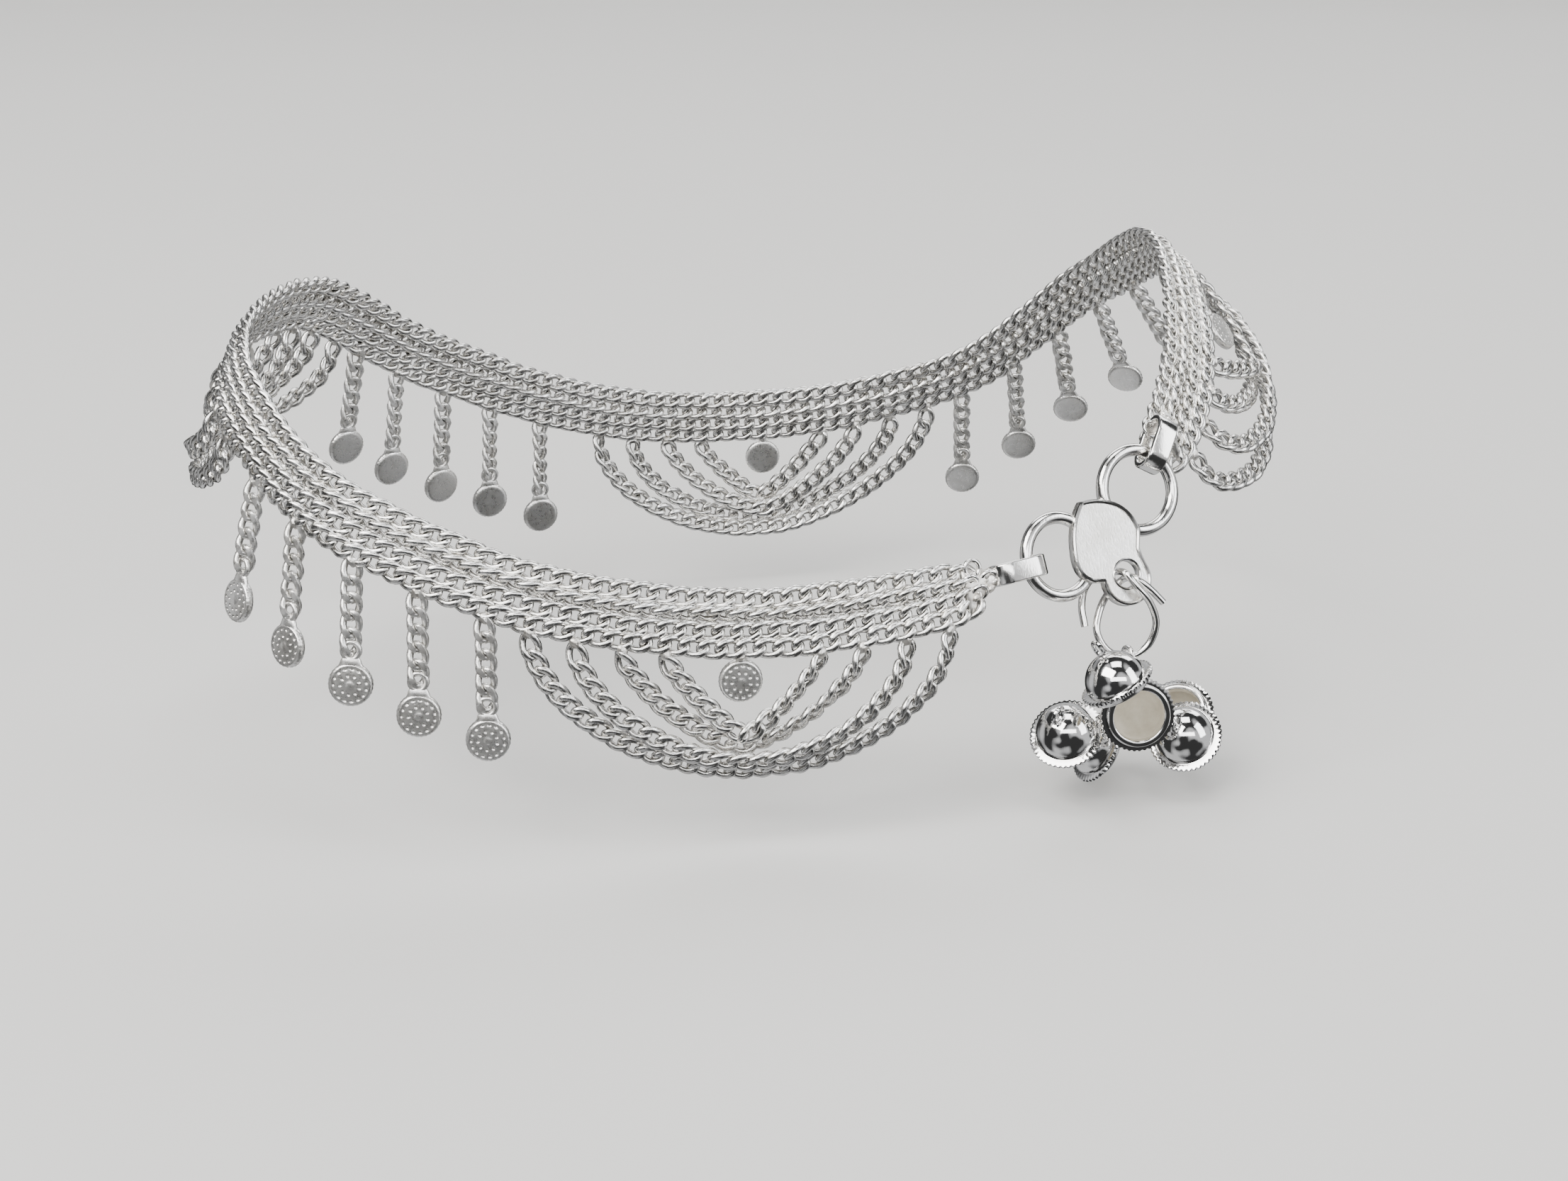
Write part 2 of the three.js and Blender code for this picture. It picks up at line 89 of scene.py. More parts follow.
DISC_HALF = 0.4
EAR_TO_DISC = 2.2
DISC_DROP = 2.8
DISC_OFFSET = 0.15

# Sizes of the dressing alone. The links start a little in from the band's ends.
BAND_INSET = 0.7
DISC_EDGE = 0.22
DISC_DOME = 0.12
DIMPLE_DEPTH = 0.14
EAR_RADIUS = 0.7
EAR_WIRE = 0.46
EAR_RISE = 0.62

# Curb link, with how far it is twisted and how far from its middle its faces are ground flat
LINK_PITCH = 1.59
LINK_WIRE = 0.6
LINK_WIDTH = 1.9
LINK_TWIST = math.radians(-44)
LINK_CUT = 0.42
LINK_SEGMENTS = 24
LINK_SIDES = 8
LINK_STRAY = 0.02
TANGENT_REACH = 0.6


def unit(v):
    """Vectors of length 1 along the last axis."""
    return v / np.linalg.norm(v, axis=-1, keepdims=True)


def spline(points, closed, count):
    """Dense points of a centripetal Catmull-Rom curve, and the row number that each one is at."""
    p = np.asarray(points, float)
    n = len(p)
    rows = np.linspace(0, n if closed else n - 1, count)
    if closed:
        ring = np.vstack([p[-1:], p, p[:3]])
    else:
        ring = np.vstack([2 * p[0] - p[1], p, 2 * p[-1] - p[-2], 2 * p[-1] - p[-2]])
    low = np.minimum(np.floor(rows).astype(int), n - 1 if closed else n - 2)
    t = (rows - low)[:, None]
    x0, x1, x2, x3 = ring[low], ring[low + 1], ring[low + 2], ring[low + 3]

    def root(a, b):
        return np.sqrt(np.maximum(np.linalg.norm(a - b, axis=1, keepdims=True), 1e-8))

    d0, d1, d2 = root(x0, x1), root(x1, x2), root(x2, x3)
    t1 = ((x1 - x0) / d0 - (x2 - x0) / (d0 + d1) + (x2 - x1) / d1) * d1
    t2 = ((x2 - x1) / d1 - (x3 - x1) / (d1 + d2) + (x3 - x2) / d2) * d1
    c2 = -3 * x1 + 3 * x2 - 2 * t1 - t2
    c3 = 2 * x1 - 2 * x2 + t1 + t2
    return x1 + t1 * t + c2 * t ** 2 + c3 * t ** 3, rows


LOOP, LOOP_ROWS = spline(ROUTE[:, :3] * LOOP_SIZE, True, 8001)
LOOP_ARC = np.concatenate([[0], np.cumsum(np.linalg.norm(np.diff(LOOP, axis=0), axis=1))])
LOOP_LENGTH = LOOP_ARC[-1]
BAND_LENGTH = LOOP_LENGTH - CLASP_SPAN
PERIOD = (BAND_LENGTH - 2 * FIRST_SWAG) / (SWAGS - 1)


def frames(arc, less_slope=0.0):
    """Point, along, fall, down and out at arc lengths along the top chain."""
    arc = np.atleast_1d(np.asarray(arc, float)) % LOOP_LENGTH

    def at(where):
        return np.stack([np.interp(where % LOOP_LENGTH, LOOP_ARC, LOOP[:, k]) for k in range(3)], 1)

    point = at(arc)
    along = unit(at(arc + 0.05) - at(arc - 0.05))
    rows = np.interp(arc, LOOP_ARC, LOOP_ROWS)
    low = np.floor(rows).astype(int)
    share = rows - low
    n = len(ROUTE)
    slope = ROUTE[low % n, 3] * (1 - share) + ROUTE[(low + 1) % n, 3] * share
    slope = np.radians(slope - less_slope)[:, None]
    outward = unit(np.stack([-along[:, 1], along[:, 0], 0 * along[:, 0]], 1))
    fall = -np.cos(slope) * np.array([0, 0, 1.0]) + np.sin(slope) * outward
    out = unit(np.cross(along, fall))
    down = np.cross(out, along)
    return point, along, fall, down, out


def on_band(arc, drop):
    """Points that lie drop below the top chain, on the surface under the band."""
    point, along, fall, down, out = frames(arc)
    return point + down * np.atleast_1d(drop)[:, None]


def hanging(arc, drop, lift=0.0):
    """Points that hang drop below the lowest chain and stand off the surface by lift."""
    point, along, fall, down, out = frames(arc)
    base = point + down * BOTTOM_ROW
    below = frames(arc, HANG_LEAN)
    drop = np.atleast_1d(drop)[:, None]
    lift = np.atleast_1d(lift)[:, None]
    return base + below[2] * drop + below[4] * lift


# Mesh gathering
class Shape:
    """Vertices in millimetres and faces, with a painted shade for each vertex and a material for each face.
    """

    def __init__(self):
        self.points = []
        self.faces = []
        self.shades = []
        self.materials = []
        self.count = 0

    def add(self, points, faces, shade=1.0, material=0):
        points = np.asarray(points, float)
        shade = np.broadcast_to(np.asarray(shade, float), (len(points),))
        self.points.append(points)
        self.shades.append(shade)
        offset = self.count
        self.faces.extend([[i + offset for i in f] for f in faces])
        self.materials.extend([material] * len(faces))
        self.count += len(points)

    def place(self, other, matrix, origin):
        """Adds a copy of another shape, turned by a 3x3 matrix and moved."""
        self.points.append(np.vstack(other.points) @ np.asarray(matrix).T + origin)
        self.shades.append(np.concatenate(other.shades))
        offset = self.count
        self.faces.extend([[i + offset for i in f] for f in other.faces])
        self.materials.extend(other.materials)
        self.count += other.count


def make(name, shape, materials, body, replaced=(), sharp=None):
    """A piece of the scene that rides a body and stands for the CAD nodes that it replaces."""
    mesh = bpy.data.meshes.new(name)
    mesh.from_pydata((np.vstack(shape.points) * MM).tolist(), [], shape.faces)
    mesh.polygons.foreach_set("material_index", np.array(shape.materials, np.int32))
    mesh.polygons.foreach_set("use_smooth", np.ones(len(shape.faces), bool))
    for material in materials:
        mesh.materials.append(material)
    work = bmesh.new()
    work.from_mesh(mesh)
    bmesh.ops.recalc_face_normals(work, faces=work.faces)
    work.to_mesh(mesh)
    work.free()
    # Painted shade for each vertex, which the silver materials read to darken their colour
    shade = mesh.attributes.new("shade", "FLOAT", "POINT")
    shade.data.foreach_set("value", np.concatenate(shape.shades).astype(np.float32))
    if sharp:
        mesh.set_sharp_from_angle(angle=math.radians(sharp))
    mesh.update()
    piece = bpy.data.objects.new(name, mesh)
    bpy.context.scene.collection.objects.link(piece)
    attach(piece, body)
    if replaced:
        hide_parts(*replaced)
    return piece


# Swept tubes
def sweep(path, section, closed=False, first=None):
    """Points and faces of a section (k x 2) carried along a path without twisting."""
    path = np.asarray(path, float)
    n, k = len(path), len(section)
    if closed:
        tangent = unit(np.roll(path, -1, 0) - np.roll(path, 1, 0))
    else:
        tangent = unit(np.gradient(path, axis=0))
    guide = np.array(first if first is not None else [0.0, 0, 1.0])
    if abs(tangent[0] @ guide) > 0.95:
        guide = np.array([1.0, 0, 0])
    normals = np.zeros_like(path)
    side = unit(guide - (guide @ tangent[0]) * tangent[0])
    for i in range(n):
        side = unit(side - (side @ tangent[i]) * tangent[i])
        normals[i] = side
    if closed:
        last = normals[-1] - (normals[-1] @ tangent[0]) * tangent[0]
        last = unit(last)
        angle = math.atan2(np.cross(last, normals[0]) @ tangent[0], last @ normals[0])
        turn = angle * np.arange(n) / n
        other = np.cross(tangent, normals)
        normals = normals * np.cos(turn)[:, None] + other * np.sin(turn)[:, None]
    other = np.cross(tangent, normals)
    section = np.asarray(section, float)
    points = (path[:, None, :] + normals[:, None, :] * section[None, :, :1]
              + other[:, None, :] * section[None, :, 1:2]).reshape(-1, 3)
    faces = []
    for i in range(n if closed else n - 1):
        a, b = i * k, ((i + 1) % n) * k
        for j in range(k):
            faces.append([a + j, a + (j + 1) % k, b + (j + 1) % k, b + j])
    if not closed:
        faces.append(list(range(k)))
        faces.append(list(range((n - 1) * k, n * k)))
    return points, faces


def circle(radius, sides):
    angle = 2 * math.pi * np.arange(sides) / sides
    return np.stack([radius * np.cos(angle), radius * np.sin(angle)], 1)


def rounded_box(width, height, radius, steps=3):
    """Outline of a rounded rectangle."""
    points = []
    for cx, cy, start in ((1, 1, 0), (-1, 1, 90), (-1, -1, 180), (1, -1, 270)):
        for i in range(steps + 1):
            angle = math.radians(start + 90 * i / steps)
            points.append([cx * (width / 2 - radius) + radius * math.cos(angle),
                           cy * (height / 2 - radius) + radius * math.sin(angle)])
    return np.array(points)


# Curb link: an oval of wire twisted along the chain, ground flat on both faces
def curb_link(segments=LINK_SEGMENTS, sides=LINK_SIDES):
    half = (LINK_PITCH + LINK_WIRE) / 2
    wide = (LINK_WIDTH - LINK_WIRE) / 2
    angle = 2 * math.pi * np.arange(segments) / segments
    c, s = np.cos(angle), np.sin(angle)
    x = half * np.sign(c) * np.abs(c) ** 0.85
    y = wide * np.sign(s) * np.abs(s) ** 0.85
    turn = LINK_TWIST * x / half
    path = np.stack([x, y * np.cos(turn), y * np.sin(turn)], 1)
    tangent = unit(np.roll(path, -1, 0) - np.roll(path, 1, 0))
    face = np.stack([0 * x, -np.sin(turn), np.cos(turn)], 1)
    face = unit(face - np.sum(face * tangent, 1, keepdims=True) * tangent)
    away = np.cross(tangent, face)
    around = 2 * math.pi * (np.arange(sides) + 0.5) / sides
    radius = LINK_WIRE / 2
    points = (path[:, None] + radius * (np.cos(around)[None, :, None] * away[:, None]
              + np.sin(around)[None, :, None] * face[:, None]))
    # Painted shade on the inner side of the wire, towards the link's hole; the ground faces are left unshaded
    shade = 0.78 + 0.22 * np.cos(around)[None, :] * np.ones((segments, 1))
    cut = np.abs(points[:, :, 2]) > LINK_CUT
    points[:, :, 2] = np.clip(points[:, :, 2], -LINK_CUT, LINK_CUT)
    shade = np.where(cut, 1.25, shade)
    faces = []
    for i in range(segments):
        a, b = i * sides, ((i + 1) % segments) * sides
        for j in range(sides):
            faces.append([a + j, b + j, b + (j + 1) % sides, a + (j + 1) % sides])
    shape = Shape()
    shape.add(points.reshape(-1, 3), faces, shade.ravel())
    return shape


LINK = curb_link()


def roll_about(x, y, z, degrees):
    """Turns y and z about x."""
    angle = math.radians(degrees)
    return y * math.cos(angle) + z * math.sin(angle), z * math.cos(angle) - y * math.sin(angle)


def chain(shape, path, out, roll, jitter=5.0):
    """Adds curb links along a dense path. out is the way that their faces look, and roll is a
    function of the share of the way along, in degrees."""
    path = np.asarray(path)
    arc = np.concatenate([[0], np.cumsum(np.linalg.norm(np.diff(path, axis=0), axis=1))])

    def at(values, where):
        return np.array([np.interp(where, arc, values[:, k]) for k in range(3)])

    count = max(2, int(round(arc[-1] / LINK_PITCH)))
    step = arc[-1] / count
    for i in range(count):
        here = (i + 0.5) * step
        x = unit(at(path, here + TANGENT_REACH) - at(path, here - TANGENT_REACH))
        z = at(out, here)
        z = unit(z - (z @ x) * x)
        y = np.cross(z, x)
        y, z = roll_about(x, y, z, roll(here / arc[-1]) + rng.normal(0, jitter))
        scale = step / LINK_PITCH
        matrix = np.stack([x * scale, y, z], 1)
        shape.place(LINK, matrix, at(path, here) + rng.normal(0, LINK_STRAY, 3))


# Materials
def nodes_of(name):
    material = bpy.data.materials.new(name)
    material.use_nodes = True
    tree = material.node_tree
    shader = tree.nodes["Principled BSDF"]
    return material, tree, shader


def noise(tree, vector, scale, detail=4.0, rough=0.55):
    node = tree.nodes.new("ShaderNodeTexNoise")
    node.inputs["Scale"].default_value = scale
    node.inputs["Detail"].default_value = detail
    node.inputs["Roughness"].default_value = rough
    tree.links.new(vector, node.inputs["Vector"])
    return node.outputs["Fac"]


def remap(tree, value, from_low, from_high, low, high):
    node = tree.nodes.new("ShaderNodeMapRange")
    node.inputs["From Min"].default_value = from_low
    node.inputs["From Max"].default_value = from_high
    node.inputs["To Min"].default_value = low
    node.inputs["To Max"].default_value = high
    tree.links.new(value, node.inputs["Value"])
    return node.outputs["Result"]


def mix(tree, share, a, b):
    node = tree.nodes.new("ShaderNodeMix")
    node.data_type = "RGBA"
    tree.links.new(share, node.inputs["Factor"])
    for socket, value in ((node.inputs["A"], a), (node.inputs["B"], b)):
        if isinstance(value, tuple):
            socket.default_value = (*value, 1.0)
        else:
            tree.links.new(value, socket)
    return node.outputs["Result"]


def bump(tree, height, strength, distance, normal=None):
    node = tree.nodes.new("ShaderNodeBump")
    node.inputs["Strength"].default_value = strength
    node.inputs["Distance"].default_value = distance
    tree.links.new(height, node.inputs["Height"])
    if normal is not None:
        tree.links.new(normal, node.inputs["Normal"])
    return node.outputs["Normal"]


def stretched(tree, vector, scale, turn=(0, 0, 0)):
    node = tree.nodes.new("ShaderNodeMapping")
    node.inputs["Scale"].default_value = scale
    node.inputs["Rotation"].default_value = turn
    tree.links.new(vector, node.inputs["Vector"])
    return node.outputs["Vector"]


def silver(name, bright, dull, rough, dents, scratches, grain=2600.0, metal=1.0):
    """Polished silver: patches of duller metal, small dents, fine scratches and painted shade in recesses."""
    material, tree, shader = nodes_of(name)
    place = tree.nodes.new("ShaderNodeTexCoord").outputs["Object"]
    patches = noise(tree, place, 420.0, 5.0)
    fine = noise(tree, place, grain, 6.0, 0.65)
    colour = mix(tree, remap(tree, patches, 0.38, 0.66, 0, 1), bright, dull)
    # Painted shade: the colour goes towards half the dull colour where the vertex shade falls from 0.95 to
    # 0.5
    shade = tree.nodes.new("ShaderNodeAttribute")
    shade.attribute_name = "shade"
    painted_shade_mix = remap(tree, shade.outputs["Fac"], 0.5, 0.95, 0, 1)
    painted_shade = tuple(c * 0.5 for c in dull)
    colour = mix(tree, painted_shade_mix, painted_shade, colour)
    tree.links.new(colour, shader.inputs["Base Color"])
    shader.inputs["Metallic"].default_value = metal
    tree.links.new(remap(tree, fine, 0.3, 0.75, rough[0], rough[1]), shader.inputs["Roughness"])
    dented = bump(tree, fine, dents, 0.00006)
    lines = noise(tree, stretched(tree, place, (1.0, 0.12, 0.3), (0.4, 0.2, 0.9)), 9000.0, 2.0)
    tree.links.new(bump(tree, lines, scratches, 0.00002, dented), shader.inputs["Normal"])
    return material


CHAIN = silver("curb_chain_silver", (0.96, 0.95, 0.93), (0.86, 0.84, 0.80), (0.14, 0.34), 0.35, 0.25)
DROP = silver("cast_drop_silver", (0.97, 0.96, 0.94), (0.88, 0.86, 0.82), (0.22, 0.4), 0.4, 0.2, metal=0.94)
SOLDER = silver("solder_silver", (0.93, 0.91, 0.87), (0.72, 0.68, 0.62), (0.26, 0.5), 0.9, 0.2, 1700.0)
WIRE = silver("drawn_wire_silver", (0.97, 0.96, 0.94), (0.90, 0.88, 0.85), (0.08, 0.2), 0.15, 0.3)
BELL = silver("bell_silver", (0.97, 0.96, 0.95), (0.90, 0.89, 0.87), (0.04, 0.12), 0.06, 0.12, 1500.0)


def plate_silver():
    """Plate face: fine brushed lines and small nicks."""
    material, tree, shader = nodes_of("brushed_plate_silver")
    place = tree.nodes.new("ShaderNodeTexCoord").outputs["Object"]
    lines = noise(tree, stretched(tree, place, (1.0, 1.0, 0.06), (0, 0.3, 0)), 7000.0, 3.0)
    patches = noise(tree, place, 520.0, 5.0)
    nicks = noise(tree, place, 2200.0, 4.0, 0.7)
    colour = mix(tree, remap(tree, patches, 0.35, 0.68, 0, 1), (0.93, 0.92, 0.90), (0.78, 0.76, 0.72))
    tree.links.new(colour, shader.inputs["Base Color"])
    shader.inputs["Metallic"].default_value = 1.0
    tree.links.new(remap(tree, lines, 0.3, 0.7, 0.2, 0.42), shader.inputs["Roughness"])
    rough = bump(tree, nicks, 0.25, 0.00003)
    tree.links.new(bump(tree, lines, 0.6, 0.00003, rough), shader.inputs["Normal"])
    return material


def cream_inside():
    """Matte cream inside of a bell: chalky and unevenly coated."""
    material, tree, shader = nodes_of("cream_bell_inside")
    place = tree.nodes.new("ShaderNodeTexCoord").outputs["Object"]
    patches = noise(tree, place, 700.0, 6.0, 0.6)
    grain = noise(tree, place, 5200.0, 4.0, 0.7)
    colour = mix(tree, remap(tree, patches, 0.3, 0.7, 0, 1), (0.78, 0.74, 0.64), (0.60, 0.55, 0.45))
    tree.links.new(colour, shader.inputs["Base Color"])
    shader.inputs["Metallic"].default_value = 0.0
    tree.links.new(remap(tree, grain, 0.3, 0.7, 0.55, 0.8), shader.inputs["Roughness"])
    tree.links.new(bump(tree, grain, 0.5, 0.00005), shader.inputs["Normal"])
    return material


PLATE = plate_silver()
CREAM = cream_inside()


# Band strands
def row_offset(arc, row):
    """Drop of a row: rows draw together at the soldered ends, and each wavers a little."""
    to_end = np.minimum(arc, BAND_LENGTH - arc)
    squeeze = 0.42 + 0.45 * np.clip(to_end / 2.6, 0, 1) ** 0.8 + 0.13 * np.clip(to_end / 9, 0, 1)
    middle = BOTTOM_ROW / 2
    waver = 0.05 * np.sin(arc * 0.37 + row * 2.1) + 0.04 * np.sin(arc * 0.83 + row * 4.7)
    return middle + (row * ROW_PITCH - middle) * squeeze + waver * np.clip(to_end / 11, 0, 1)


# How far each row's links are rolled about the chain, in degrees
ROW_ROLL = [-8, -46, -14, -10]
for row in range(ROWS):
    shape = Shape()
    arcs = np.linspace(BAND_INSET, BAND_LENGTH - BAND_INSET, 3000)
    path = on_band(arcs, row_offset(arcs, row))
    out = frames(arcs)[4]
    base = ROW_ROLL[row]
    chain(shape, path, out, lambda u, b=base, r=row: b + 9 * math.sin(19 * u + 2.3 * r), 3.5)
    make(f"strand_{row + 1}_links", shape, [CHAIN], "anklet", [f"strand_{row + 1}"])


# Solder lump: a small rough ball of metal
def lump(shape, centre, size, squash, axes, seed):
    """A noisy ball with half axes size * squash along three axes."""
    rings, sides = 7, 10
    local = np.random.default_rng(seed)
    wobble = local.normal(0, 0.09, (rings + 1, sides))
    points = []
    for i in range(rings + 1):
        lat = math.pi * i / rings
        for j in range(sides):
            lon = 2 * math.pi * j / sides
            r = 1 + (0 if i in (0, rings) else wobble[i, j])
            d = np.array([math.sin(lat) * math.cos(lon), math.sin(lat) * math.sin(lon), math.cos(lat)])
            points.append(centre + (d * r * size * np.array(squash)) @ np.array(axes))
    faces = []
    for i in range(rings):
        for j in range(sides):
            a = i * sides + j
            b = i * sides + (j + 1) % sides
            if i == 0:
                faces.append([a, a + sides, b + sides])
            elif i == rings - 1:
                faces.append([a, a + sides, b])
            else:
                faces.append([a, a + sides, b + sides, b])
    shape.add(points, faces, 1.0)


def surface_axes(arc):
    """Along, fall and out of what hangs at one arc length."""
    point, along, fall, down, out = frames(arc, HANG_LEAN)
    return along[0], fall[0], out[0]


# Swags
def swag_path(centre, c, count=900):
    """Arc lengths, points and outward ways of a swag's chain, in the order of the band."""
    angle = math.pi * np.linspace(0, 1, count)
    cos = np.cos(angle)
    across = np.sign(cos) * np.abs(cos) ** (2 / c["full"])
    drop = np.sin(angle).clip(0, 1) ** (2 / c["full"])
    arcs = centre - SWAG_HALF * c["across"] * across
    depth = HANG_TOP + (SWAG_DEPTH * c["down"] - HANG_TOP) * drop
    path = hanging(arcs, depth, SWAG_LIFT * c["lift"] * drop)
    return arcs, path, frames(arcs, HANG_LEAN)[4]


solder = Shape()
seed = 100
for swag in range(SWAGS):
    centre = FIRST_SWAG + swag * PERIOD
    for number, c in enumerate(SWAG_CHAINS):
        shape = Shape()
        arcs, path, out = swag_path(centre, c)
        lean = rng.normal(0, 4)

        def roll(u, lean=lean, n=number):
            return lean - 8 - 42 * (1 - u) ** 2 + 10 * math.sin(9 * u + n)

        chain(shape, path, out, roll, 5.0)
        name = f"swag_{swag + 1}_chain_{number + 1}"
        make(f"{name}_links", shape, [CHAIN], "anklet", [name])
        for arc in (arcs[0], arcs[-1]):
            seed += 1
            axes = surface_axes(arc)
            spot = hanging(arc, 0.75, 0.1)[0]
            lump(solder, spot, 0.56, (0.95, 1.0, 0.8), axes, seed)


# Dimpled disc
def dimpled_disc(outer=15, inner=9):
    """Round drop, facing z: gently domed, with two rings of dimples, a small middle boss and a
    finely notched rim."""
    rings, sides = 26, 90
    theta = 2 * math.pi * np.arange(sides) / sides
    radii = DISC_RADIUS * np.linspace(0, 1, rings + 1)[1:] ** 0.92
    # Dimples: radius of the ring, number, size of each and angle of the first
    dimples = [(1.36, outer, 0.13, 0.2), (0.8, inner, 0.125, 0.4)]
    points, shade = [[0, 0, DISC_HALF + 0.06]], [1.1]
    for r in radii:
        for t in theta:
            notch = 1 + 0.012 * math.cos(outer * 2 * t) * (r / DISC_RADIUS) ** 6
            x, y = r * notch * math.cos(t), r * notch * math.sin(t)
            z = DISC_HALF - DISC_DOME + DISC_DOME * (1 - (r / DISC_RADIUS) ** 2)
            over = (r - (DISC_RADIUS - DISC_EDGE)) / DISC_EDGE
            z += 0.03 * max(0.0, 1 - abs(over) * 1.6)
            if over > 0:
                z -= 0.24 * (1 - math.sqrt(max(0.0, 1 - min(over, 1) ** 2)))
            z += 0.05 * math.exp(-(r / 0.3) ** 4)
            # Painted shade: the pits of the dimples are darkened
            painted_shade = 0.0
            for ring, count, size, phase in dimples:
                k = round((t - phase) / (2 * math.pi / count))
                a = phase + k * 2 * math.pi / count
                gap = math.hypot(x - ring * math.cos(a), y - ring * math.sin(a)) / size
                if gap < 1.5:
                    z -= DIMPLE_DEPTH * math.exp(-gap ** 2 * 1.6)
                    z += 0.03 * math.exp(-((gap - 1.15) * 4) ** 2)
                    painted_shade = max(painted_shade, math.exp(-gap ** 2 * 1.4))
            points.append([x, y, z])
            shade.append(1.05 - 0.66 * painted_shade)
    faces = [[0, 1 + j, 1 + (j + 1) % sides] for j in range(sides)]
    for i in range(rings - 1):
        a, b = 1 + i * sides, 1 + (i + 1) * sides
        for j in range(sides):
            faces.append([a + j, b + j, b + (j + 1) % sides, a + (j + 1) % sides])
    last = 1 + (rings - 1) * sides
    # Back: share of the radius and height above the back
    for radius, rise in ((1.0, 0.18), (0.93, 0.04), (0.8, 0), (0.3, 0)):
        z = -DISC_HALF + rise
        start = len(points)
        for t in theta:
            notch = 1 + 0.012 * math.cos(outer * 2 * t) * radius ** 6
            points.append([DISC_RADIUS * radius * notch * math.cos(t),
                           DISC_RADIUS * radius * notch * math.sin(t), z])
            shade.append(0.95)
        for j in range(sides):
            faces.append([last + j, start + j, start + (j + 1) % sides, last + (j + 1) % sides])
        last = start
    faces.append([last + j for j in range(sides)])
    shape = Shape()
    shape.add(points, faces, np.array(shade))
    return shape


DISC = dimpled_disc()


def torus(radius, wire, steps, sides, normal_axis=2):
    """Closed ring of round wire about one of the three axes."""
    angle = 2 * math.pi * np.arange(steps) / steps
    path = np.zeros((steps, 3))
    axes = [k for k in range(3) if k != normal_axis]
    path[:, axes[0]] = radius * np.cos(angle)
    path[:, axes[1]] = radius * np.sin(angle)
    guide = np.zeros(3)
    guide[normal_axis] = 1.0
    return sweep(path, circle(wire / 2, sides), closed=True, first=guide)


def loft(levels, sides=20):
    """Closed solid through ellipses at (y, half width, half thickness), along y."""
    points, faces = [], []
    theta = 2 * math.pi * np.arange(sides) / sides
    for y, half, thick in levels:
        for t in theta:
            points.append([half * math.cos(t), y, thick * math.sin(t)])
    for i in range(len(levels) - 1):
        a, b = i * sides, (i + 1) * sides
        for j in range(sides):
            faces.append([a + j, a + (j + 1) % sides, b + (j + 1) % sides, b + j])
    faces.append(list(range(sides)))
    faces.append(list(range((len(levels) - 1) * sides, len(levels) * sides)))
    return points, faces


def pear_drop():
    """Dimpled disc with a neck and an ear, drawn about the ear's middle, facing z."""
    shape = Shape()
    shape.place(DISC, np.eye(3), np.array([0, -EAR_TO_DISC, 0]))
    neck = [
        (-1.3, 1.42, 0.2), (-1.0, 1.24, 0.28), (-0.7, 1.04, 0.32),
        (-0.4, 0.9, 0.32), (-0.12, 0.82, 0.3), (0.08, 0.66, 0.2),
    ]
    shape.add(*loft(neck), 0.95)
    ear_points, ear_faces = torus(EAR_RADIUS, EAR_WIRE, 28, 10)
    shape.add(ear_points + [0, EAR_RISE, 0], ear_faces, 0.95)
    return shape


PEAR = pear_drop()

# Tassels: each chain starts CHAIN_RISE above HANG_TOP and ends in the middle of its drop's ear
CHAIN_RISE = 0.35
for group in range(SWAGS - 1):
    middle = FIRST_SWAG + (group + 0.5) * PERIOD + TASSEL_SHIFT
    for i in range(TASSELS):
        arc = middle + (i - (TASSELS - 1) / 2) * TASSEL_SPACING
        shape = Shape()
        drops = np.linspace(HANG_TOP - CHAIN_RISE, HANG_TOP + TASSEL_CHAIN - EAR_RISE, 200)
        path = np.vstack([hanging(arc, d) for d in drops])
        along, fall, out = surface_axes(arc)
        outs = np.repeat(out[None], len(path), 0)
        twist = rng.normal(0, 10)
        chain(shape, path, outs, lambda u, t=twist: t - 14 - 10 * u, 6.0)
        up_way = -fall
        right = np.cross(up_way, out)
        turn = math.radians(rng.normal(0, 4))
        face = out * math.cos(turn) - right * math.sin(turn)
        right = right * math.cos(turn) + out * math.sin(turn)
        origin = hanging(arc, HANG_TOP + TASSEL_CHAIN)[0]
        shape.place(PEAR, np.stack([right, up_way, face], 1), origin)
        name = f"tassel_{group + 1}_{i + 1}"
        make(f"{name}_links", shape, [DROP], "anklet", [name], 50)
        seed += 1
        lump(solder, hanging(arc, 0.72, 0.1)[0], 0.52, (0.9, 1.0, 0.8), surface_axes(arc), seed)

# Discs in the swags, each on a stem: height, half width and half thickness along it
STEM = [(0.95, 0.5, 0.3), (1.25, 0.4, 0.3), (1.6, 0.36, 0.32), (2.0, 0.42, 0.36), (2.5, 0.52, 0.34)]
for swag in range(SWAGS):
    arc = FIRST_SWAG + swag * PERIOD + DISC_OFFSET
    along, fall, out = surface_axes(arc)
    up_way = -fall
    right = np.cross(up_way, out)
    turn = np.stack([right, up_way, out], 1)
    middle = hanging(arc, DISC_DROP)[0]
    shape = Shape()
    shape.place(DISC, turn, middle)
    stem = Shape()
    stem.add(*loft(STEM), 0.95)
    shape.place(stem, turn, middle)
    make(f"disc_{swag + 1}_dimpled", shape, [DROP], "anklet", [f"disc_{swag + 1}"], 50)
    seed += 1
    lump(solder, hanging(arc, 0.7, 0.05)[0], 0.5, (0.9, 0.8, 0.8), (along, fall, out), seed)

make("solder_lumps", solder, [SOLDER], "anklet")

